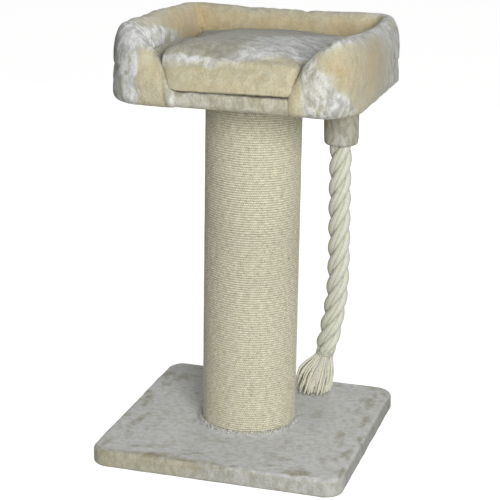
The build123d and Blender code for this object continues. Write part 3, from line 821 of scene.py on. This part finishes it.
def wall_section(crest, gather, hang):
    """The section's points: outwards positive across, and up. It stands on the board inside, and outside it
    hangs past the board's edge and is folded under it. Its top leans in and is rounder outside than inside,
    and where the cloth is gathered (1) it swells further into the bed. Where it hangs (1) it is lower and
    squarer."""
    foot, floor = BED_BOTTOM - 0.0012 - 0.004 * hang, BED_FLOOR + 0.0004
    half, hem, tip, board_gap, rest = WALL / 2, 0.018, -0.003, 0.0100, 0.022
    low = min(0.020 - 0.011 * hang, (crest - foot) / 3)
    outer_rise = min(0.072, 0.6 * (crest - foot))
    inner_rise = min(0.046 + 0.016 * gather, 0.7 * (crest - floor))
    swell = (0.004 + GATHER_SWELL * gather) * min(1.0, (crest - floor) / 0.10)
    heel = min(0.006, (crest - floor) / 4)
    points = run((half - low - hem, foot), (half - low, foot), 6)[:-1]
    points += arc(half - low, foot + low, low, low, -90, 8)
    points += run((half, foot + low), (half, crest - outer_rise), 14)[1:-1]
    points += arc(tip, crest - outer_rise, half - tip, outer_rise, 0, 22, power=0.9)
    points += arc(tip, crest - inner_rise, half + swell + tip, inner_rise, 90, 16)[1:]
    for share in np.linspace(0, 1, 14)[1:-1]:
        height = crest - inner_rise + (floor + heel - crest + inner_rise) * share
        points.append((-half - swell * (1 - share**1.5), height))
    points += arc(heel - half, floor + heel, heel, heel, 180, 5)
    # Round the board's edge: it rests on the board's top, and its hem is folded under
    points += [(half - rest, floor), (half - board_gap, floor - 0.001), (half - board_gap, foot + rest)]
    points += [(half - board_gap - 0.001, foot + 0.0030), (half - low - hem, foot + 0.0016)]
    return np.array(points)


def wall_skin():
    """The wall's cover as drawn, with its ends drawn in to two noses."""
    places, ways = wall_line(step=0.0054)
    across, depth = places.T
    end, length = np.where(across < 0, 0.0965, 0.1155), np.where(across < 0, 0.016, 0.021)
    noses = np.clip(1 - (np.abs(across) - end) / length, 0, 1) * (depth < -0.2)
    gathers = gathered(depth) * (np.abs(across) > 0.17)
    hangs = fade(across, 0.17, 0.21) * fade(depth, -0.21, -0.12)
    crests = wall_crest(across, depth)
    rings = []
    for place, way, crest, gather, hang, nose in zip(places, ways, crests, gathers, hangs, noses):
        section = wall_section(crest, gather, hang)
        out = section[:, 0] * math.sqrt(1 - nose**2) ** 0.75
        rings.append(np.c_[place[0] + way[0] * out, place[1] + way[1] * out, section[:, 1]])
    for ring in (rings[0], rings[-1]):
        ring[:, 1:] = ring[:, 1:].mean(0)
    faces = grid_faces(len(rings), len(rings[0]))
    piece = mesh_piece("bed_wall_cover", np.concatenate(rings), faces, plush)
    tidy_mesh(piece)
    return piece


def neighbour_mean(piece, values):
    """For each point, the mean of the values at the points that share an edge with it."""
    ends = np.empty(len(piece.data.edges) * 2, int)
    piece.data.edges.foreach_get("vertices", ends)
    first, second = ends.reshape(-1, 2).T
    total = len(values)
    count = np.maximum(np.bincount(ends, minlength=total), 1)
    sums = []
    for column in values.T:
        sums.append(np.bincount(first, column[second], total) + np.bincount(second, column[first], total))
    return np.stack(sums, 1) / count[:, None]


def puff(piece, held, growth, frames, cap, evening):
    """Blows a cover up with Blender's cloth: held points stay, growth is the spare cloth that makes the
    puckers, and no point moves further than its cap. With evening the drawn shape is kept by taking most of
    the broad movement back out, found by that many rounds of it."""
    start = points_of(piece)
    for label, weights in (("held", held), ("spare", growth / growth.max())):
        group = piece.vertex_groups.new(name=label)
        for index in np.flatnonzero(weights > 0):
            group.add([int(index)], float(weights[index]), "REPLACE")
    cloth = piece.modifiers.new("puff", "CLOTH")
    settings = {
        "quality": 5,
        "mass": 0.3,
        "tension_stiffness": 15,
        "compression_stiffness": 15,
        "shear_stiffness": 5,
        "bending_stiffness": 0.3,
        "air_damping": 2,
        "use_pressure": True,
        "uniform_pressure_force": 4.0,
        "vertex_group_mass": "held",
        "vertex_group_shrink": "spare",
        "shrink_min": 0.0,
        "shrink_max": -float(growth.max()),
    }
    for name, value in settings.items():
        setattr(cloth.settings, name, value)
    cloth.settings.effector_weights.gravity = 0
    cloth.collision_settings.use_collision = False
    cloth.point_cache.frame_start, cloth.point_cache.frame_end = 1, frames
    for moment in range(1, frames + 1):
        scene.frame_set(moment)
    depsgraph = bpy.context.evaluated_depsgraph_get()
    step = points_of(piece.evaluated_get(depsgraph)) - start
    piece.modifiers.remove(cloth)
    piece.vertex_groups.clear()
    scene.frame_set(1)
    if evening:
        broad = step
        for _ in range(evening):
            broad = neighbour_mean(piece, broad)
        step = step - broad * 0.8
    far = np.maximum(np.linalg.norm(step, axis=1), 1e-9)
    set_points(piece, start + step * np.minimum(1, cap / far)[:, None])


def divide(piece):
    """One subdivision, applied."""
    modifier = piece.modifiers.new("divide", "SUBSURF")
    modifier.levels = modifier.render_levels = 1
    apply_modifier(piece, modifier)
    piece.data.polygons.foreach_set("use_smooth", [True] * len(piece.data.polygons))


def crease(points, heights, places, width):
    """1 on a line up the front whose place across follows its height, fading out over the width and past its
    ends."""
    x, _, z = points.T
    low, high, run_out = heights[0], heights[-1], 0.012
    ends = fade(z, low - run_out, low) * fade(-z, -high - run_out, -high)
    return np.exp(-(((x - np.interp(z, heights, places)) / width) ** 2)) * ends


def bed_wall():
    """The padded wall: foam in a loose plush tube, gathered at the inside of the two front corners."""
    piece = wall_skin()
    points = points_of(piece)
    _, y, z = points.T
    inside = BED_HALF - np.abs(points[:, :2]).max(1)
    held = ((z < BED_BOTTOM + 0.003) | (inside > 0.006) & (z < BED_FLOOR + 0.004)).astype(float)
    corner = blob(np.abs(points), (0.195, 0.200, 0.880), (0.055, 0.060, 0.045)) * (y < 0)
    puff(piece, held, growth=0.012 + 0.15 * corner, frames=16, cap=0.012, evening=40)
    divide(piece)
    points, normals = points_of(piece), points_of(piece, "normal")
    x, y, z = points.T
    # Gathers that fan out from the inside of each front corner over the wall's top
    fan_x, fan_y = 0.137 - np.abs(x), y + 0.160
    reach, turn = np.hypot(fan_x, fan_y), np.arctan2(fan_y, -fan_x)
    inner = fade(-np.abs(x), -0.226, -0.206) * fade(y, -0.226, -0.206) * fade(z, 0.83, 0.86)
    window = fade(reach, 0.025, 0.045) * fade(-reach, -0.25, -0.16) * fade(-y, -0.10, 0.0)
    folds = np.cos(31 * turn + 5.0 * lumps(points, 0.06, 12) + np.sign(x)) + 0.6 * np.cos(53 * turn + 1.0)
    gather_top = 0.898 - 0.22 * np.maximum(y + 0.109, 0.0) + 0.008 * lumps(points, 0.015, 20)
    under = fade(gather_top - z, -0.006, 0.010) * fade(-y, -0.10, 0.02)
    gathers = folds * inner * window * np.maximum(under, fade(-y, 0.15, 0.20))
    lift = 0.0028 * gathers
    # Creases at the noses, with a raised edge by the left one, and short upright ones low on the left corner
    left = [0.770, 0.822, 0.860, 0.880], [-0.1205, -0.1265, -0.1435, -0.1575]
    right = [0.772, 0.809, 0.842], [0.160, 0.154, 0.142]
    creases = [(-0.0022, *left, 0.0035), (-0.0022, *right, 0.0040)]
    creases.append((0.0016, [0.770, 0.822], [-0.113, -0.116], 0.004))
    for place in (-0.182, -0.175, -0.168):
        creases.append((-0.0024, [0.764, 0.795], [place, place - 0.004], 0.0024))
    front = fade(-normals[:, 1], 0.1, 0.5) * (y < -0.18)
    for height, *line in creases:
        lift += height * front * crease(points, *line)
    # A rucked patch by the right nose, and a soft fold in the rear right corner
    ruck = blob(points, (0.172, -0.25, 0.795), (0.032, 0.04, 0.036))
    lift += 0.0020 * ruck * lumps(points, 0.011, 13)
    lift -= 0.0060 * blob(points, (0.188, 0.188, 0.875), (0.010, 0.010, 0.035))
    lift += 0.0011 * lumps(points, 0.045, 5) + 0.0006 * lumps(points, 0.016, 6)
    points += normals * lift[:, None]
    # Nap, with its silver a painted sheen: tan inside, and silver on the left shoulder and the gathers
    upward, outward = fade(normals[:, 2], 0.3, 0.9), fade(np.abs(x), 0.232, 0.246)
    inner_face = fade(-(normals[:, :2] * points[:, :2]).sum(1) / np.hypot(x, y), 0.1, 0.6)
    nap = 0.28 + 0.25 * upward - 0.15 * inner_face * fade(y, -0.12, 0.0)
    nap -= 0.14 * fade(-x, 0.16, 0.20) * fade(y, -0.12, 0.0)
    ragged = x + 0.010 * lumps(points, 0.02, 17)
    nap += 0.62 * fade(-ragged, 0.172, 0.180) * fade(-y, 0.13, 0.20)
    nap += 0.55 * fade(z, 0.863, 0.879) * fade(-ragged, 0.140, 0.155) * fade(-y, 0.17, 0.22)
    left_inside = fade(normals[:, 0], 0.05, 0.5) * fade(-x, 0.10, 0.14) * fade(y, -0.212, -0.180)
    # Painted highlights on the gathers' ridges and along the fold by the left nose
    nap += 0.60 * left_inside * under + 0.25 * gathers * (x < 0)
    nap += 0.42 * crease(points, left[0], [-0.106, -0.112, -0.131, -0.145], 0.008) * front
    # A patch of painted silver sheen on the right shoulder, and painted sheen along the right side's top and
    # rear
    silver_top = 0.874 - 1.014 * (x - 0.177) + 0.020 * lumps(points, 0.020, 21)
    nose_edge = np.interp(z, [0.770, 0.797, 0.819, 0.866], [0.155, 0.150, 0.148, 0.140])
    nap += 0.52 * fade(silver_top - z, -0.010, 0.025) * fade(x - nose_edge, -0.006, 0.012) * front
    nap += 0.36 * upward * fade(x, 0.16, 0.20)
    nap += 0.45 * outward * fade(y, -0.02, 0.10) * (x > 0)
    nap -= 0.35 * blob(points, (0.248, -0.08, 0.840), (0.05, 0.08, 0.05))
    nap -= 0.18 * blob(points, (0.215, -0.24, 0.840), (0.04, 0.05, 0.04))
    # Painted shade on both sides, in the gathers' folds and in the creases, and painted light on the inner
    # faces of the left and back walls
    dark = 0.14 * outward * fade(y, -0.12, 0.02) * (x > 0)
    dark += 0.06 * front * fade(x, 0.17, 0.20)
    dark -= 0.18 * left_inside * (1 - fade(-normals[:, 1], 0.1, 0.6))
    dark += 0.05 * lumps(points, 0.05, 22) - 0.08 * inner_face * fade(y, 0.10, 0.18)
    dark += 0.24 * fade(-normals[:, 0], 0.2, 0.8) * fade(-x, 0.18, 0.22) * fade(-y, 0.0, 0.1)
    dark += 0.12 * np.clip(-gathers, 0, 1) + 0.20 * front * crease(points, *left, 0.0025)
    dark += 0.16 * front * crease(points, *right, 0.0030)
    set_pile(piece, nap, dark, 0.30 + 0.70 * fade(nap, 0.35, 0.85))
    x += BED_MIDDLE
    set_points(piece, points)
    return piece


wall = bed_wall()
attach(wall, "stand")
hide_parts("bolster_plush", "bolster_foam", "bolster_strip")


# Cushion
def bed_cushion():
    """A foam pad in a loose plush cover, blown up from the solid of its filling."""
    mesh = nodes["cushion_filling"].data.copy()
    mesh.materials.clear()
    mesh.materials.append(plush)
    piece = placed("bed_cushion", mesh)
    tidy_mesh(piece)
    remesh = piece.modifiers.new("even", "REMESH")
    remesh.mode = "VOXEL"
    remesh.voxel_size = 0.005
    apply_modifier(piece, remesh)
    points = points_of(piece)
    x, y, z = points.T
    # The top rises to the front and its left, and sinks to the back and the sides
    on_top, across = fade(z, 0.835, 0.865), x - BED_MIDDLE
    z += on_top * (0.005 * fade(-y, 0.0, 0.2) - 0.008 * fade(y, -0.10, 0.12))
    z += on_top * 0.010 * fade(-across, 0.0, 0.09) * fade(-y, 0.12, 0.20)
    low_side = 0.016 * fade(-across, 0.06, 0.16) + 0.008 * fade(across, 0.06, 0.16)
    z -= on_top * low_side * fade(y, -0.17, -0.08)
    # The tongue bulges forwards low down and widens upwards, and the gathered walls press the sides in
    y -= 0.018 * fade(-y, 0.20, 0.23) * fade(-z, -0.835, -0.800)
    rise = fade(z, BED_FLOOR - 0.010, 0.842)
    spread = np.where(across < 0, 0.30 * rise - 0.085, 0.13 * rise + 0.09)
    x += across * spread * fade(-y, 0.185, 0.205)
    across = x - BED_MIDDLE
    squeeze = (GATHER_SWELL + 0.002) * gathered(y) * fade(-y, -0.196, 0.196) * fade(y, -0.215, -0.185)
    x -= np.sign(across) * squeeze * fade(np.abs(across), 0.08, 0.19)
    smoothing_rounds, loose = 24, 0.5 * fade(z, BED_FLOOR + 0.010, BED_FLOOR + 0.040)[:, None]
    for _ in range(smoothing_rounds):
        points += loose * (neighbour_mean(piece, points) - points)
    set_points(piece, points)
    held = (z < BED_FLOOR + 0.008).astype(float)
    growth = 0.02 + 0.06 * blob(np.c_[z], (0.862,), (0.02,))
    cap = 0.0040 + 0.0050 * fade(points_of(piece, "normal")[:, 2], 0.2, 0.9)
    puff(piece, held, growth, frames=18, cap=cap, evening=0)
    divide(piece)
    points, normals = points_of(piece), points_of(piece, "normal")
    x, y, z = points.T
    across = x - BED_MIDDLE
    # Long wrinkles on the top's right, soft lumps, and a dent in the front
    upward, front = fade(normals[:, 2], 0.35, 0.95), fade(-normals[:, 1], 0.2, 0.7)
    rucked = upward * blob(points[:, :2], (0.150, -0.10), (0.10, 0.13))
    long_noise = lumps(points * (0.22, 1.0, 1.0) + points[:, [1, 0, 2]] * (0.1, 0.3, 0.0), 0.021, 14)
    valleys = rucked * np.exp(-((long_noise / 0.14) ** 2))
    dent = blob(points, (0.080, -0.247, 0.838), (0.008, 0.03, 0.010))
    lift = 0.0016 * lumps(points, 0.06, 7) + 0.0007 * lumps(points, 0.018, 8) - 0.0036 * valleys
    lift += 0.0024 * rucked * long_noise
    lift += front * (0.0016 * lumps(points, 0.030, 23) - 0.0030 * dent)
    points += normals * lift[:, None]
    # The lip hangs past the board's edge
    z[:] = np.maximum(z, BED_FLOOR + 0.0004)
    z -= 0.008 * fade(-y, 0.2440, 0.2475) * fade(-z, -0.830, -0.800)
    set_points(piece, points)
    # How far each point lies behind the turn from the front to the top, where a painted silver sheen starts
    behind = y + 0.247 + z - 0.870 + 0.010 * lumps(points, 0.022, 24)
    turn = np.interp(across, [-0.130, -0.030, 0.025, 0.098, 0.131], [-0.012, -0.010, 0.012, 0.041, 0.058])
    silver = fade(behind - turn, -0.014, 0.016)
    # Painted shade, and less sheen, on the left of the top, where its pile leans from the light
    side_line = across - 0.007 - 0.325 * (y + 0.203) + 0.02 * lumps(points, 0.03, 18)
    away = fade(-side_line, -0.02, 0.02) * fade(behind, 0.012, 0.020) * fade(normals[:, 2], 0.2, 0.5)
    # Painted sheen on the silver band and the rucked patch, and painted shade on the top, on its left and in
    # the wrinkles' valleys
    nap = 0.27 + 0.62 * silver + 0.30 * rucked - 0.37 * away
    dark = 0.02 * upward + away * (0.27 + 0.12 * fade(y, -0.1, 0.15)) + 0.34 * valleys
    # Painted shadow along the lip's lower edge, as in a dark gap, wider on the right
    dark += 0.82 * fade(0.7998 + 0.018 * across - z, 0.0, 0.0030) * fade(-y, 0.235, 0.243)
    set_pile(piece, nap, dark, 0.30 + 0.40 * silver - 0.30 * away)
    return piece


cushion = bed_cushion()
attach(cushion, "cushion")
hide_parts("cushion_cover", "cushion_filling")


# Cuff
def rope_cuff():
    """A plush sleeve round the card tube, turned in at its lower rim."""
    outer, inner, turn, count = 0.0375, 0.0252, 0.007, 96
    section = [(outer - 0.0005, BED_BOTTOM + 0.001), (outer, BED_BOTTOM - 0.004)]
    section += run((outer, BED_BOTTOM - 0.012), (outer, CUFF_RIM + turn + 0.004), 26)
    section += arc(outer - turn, CUFF_RIM + turn, turn, -turn, 0, 9)
    turned_in = [(0.0016, 0.0005), (0.0002, 0.003), (0.0, 0.020)]
    section += [(inner + step, CUFF_RIM + rise) for step, rise in turned_in]
    angles = np.arange(count) * 2 * math.pi / count
    rings = [np.c_[r * np.cos(angles), r * np.sin(angles), np.full(count, z)] for r, z in section]
    piece = mesh_piece("cuff_cover", np.concatenate(rings), grid_faces(len(section), count), plush)
    tidy_mesh(piece)
    points = points_of(piece)
    reach = np.hypot(points[:, 0], points[:, 1])
    way = points / np.maximum(reach, 1e-6)[:, None] * (1, 1, 0)
    ruck = 0.0012 * lumps(points * (1, 1, 0.6), 0.022, 9) + 0.0007 * lumps(points, 0.009, 10)
    points += way * (ruck * fade(reach, 0.028, 0.035))[:, None]
    points += (CUFF_X, CUFF_Y, 0.0)
    set_points(piece, points)
    # A patch of painted silver sheen, and painted shade under the bed, deeper towards the top
    nap = 0.42 + 0.3 * blob(points, (0.155, 0.15, 0.63), (0.03, 0.03, 0.03))
    set_pile(piece, nap, 0.13 + 0.08 * fade(points[:, 2], 0.64, 0.72), 0.6)
    return piece


cuff = rope_cuff()
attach(cuff, "stand")
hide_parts("cuff_plush")


# Floor and light
def seen_share(tree):
    """1 for rays that show a surface to the eye: from the camera, off a gloss or through something clear."""
    ray = add(tree, "ShaderNodeLightPath").outputs
    seen = ray["Is Camera Ray"]
    for kind in ("Is Glossy Ray", "Is Transmission Ray"):
        seen = add(tree, MATH, {0: seen, 1: ray[kind]}, operation="MAXIMUM")
    return seen


def studio():
    """A floor and a world that look white and light the part only a little, and three lamps."""
    white = (1, 1, 1, 1)
    material, tree = blank_material("studio_floor")
    paint = add(tree, "ShaderNodeBsdfDiffuse", {"Color": linear("#b4b4b2")})
    glow = add(tree, "ShaderNodeEmission", {"Color": white, "Strength": 0.86})
    both = add(tree, "ShaderNodeAddShader", {0: paint, 1: glow})
    mixed = add(tree, "ShaderNodeMixShader", {0: seen_share(tree), 1: paint, 2: both})
    add(tree, "ShaderNodeOutputMaterial", {"Surface": mixed})
    size, sunk = 12.0, -0.0005
    corners = [(-size, -size, sunk), (size, -size, sunk), (size, size, sunk), (-size, size, sunk)]
    floor = mesh_piece("studio_floor", corners, [(0, 1, 2, 3)], material)
    world = bpy.data.worlds.new("studio")
    scene.world = world
    world.use_nodes = True
    sky = world.node_tree
    sky.nodes.clear()
    dim, bright = (add(sky, "ShaderNodeBackground", {"Color": white, "Strength": s}) for s in (0.26, 1.0))
    mixed = add(sky, "ShaderNodeMixShader", {0: seen_share(sky), 1: dim, 2: bright})
    add(sky, "ShaderNodeOutputWorld", {"Surface": mixed})
    # Each lamp's name, place, width and power
    lamps = [
        ("key_lamp", (1.7, -2.9, 1.7), 1.4, 110.0),
        ("fill_lamp", (-2.4, -2.2, 1.4), 1.8, 3.0),
        ("back_lamp", (-0.3, 3.3, 1.3), 1.2, 26.0),
    ]
    aim = Vector((0, 0, 0.45))
    for name, place, side, power in lamps:
        data = bpy.data.lights.new(name, "AREA")
        data.shape = "SQUARE"
        data.size = side
        data.energy = power
        lamp = placed(name, data)
        turned = (aim - Vector(place)).to_track_quat("-Z", "Y").to_matrix().to_4x4()
        lamp.matrix_world = Matrix.Translation(place) @ turned
        lamp.visible_camera = False
    scene.view_settings.view_transform = "Standard"


studio()
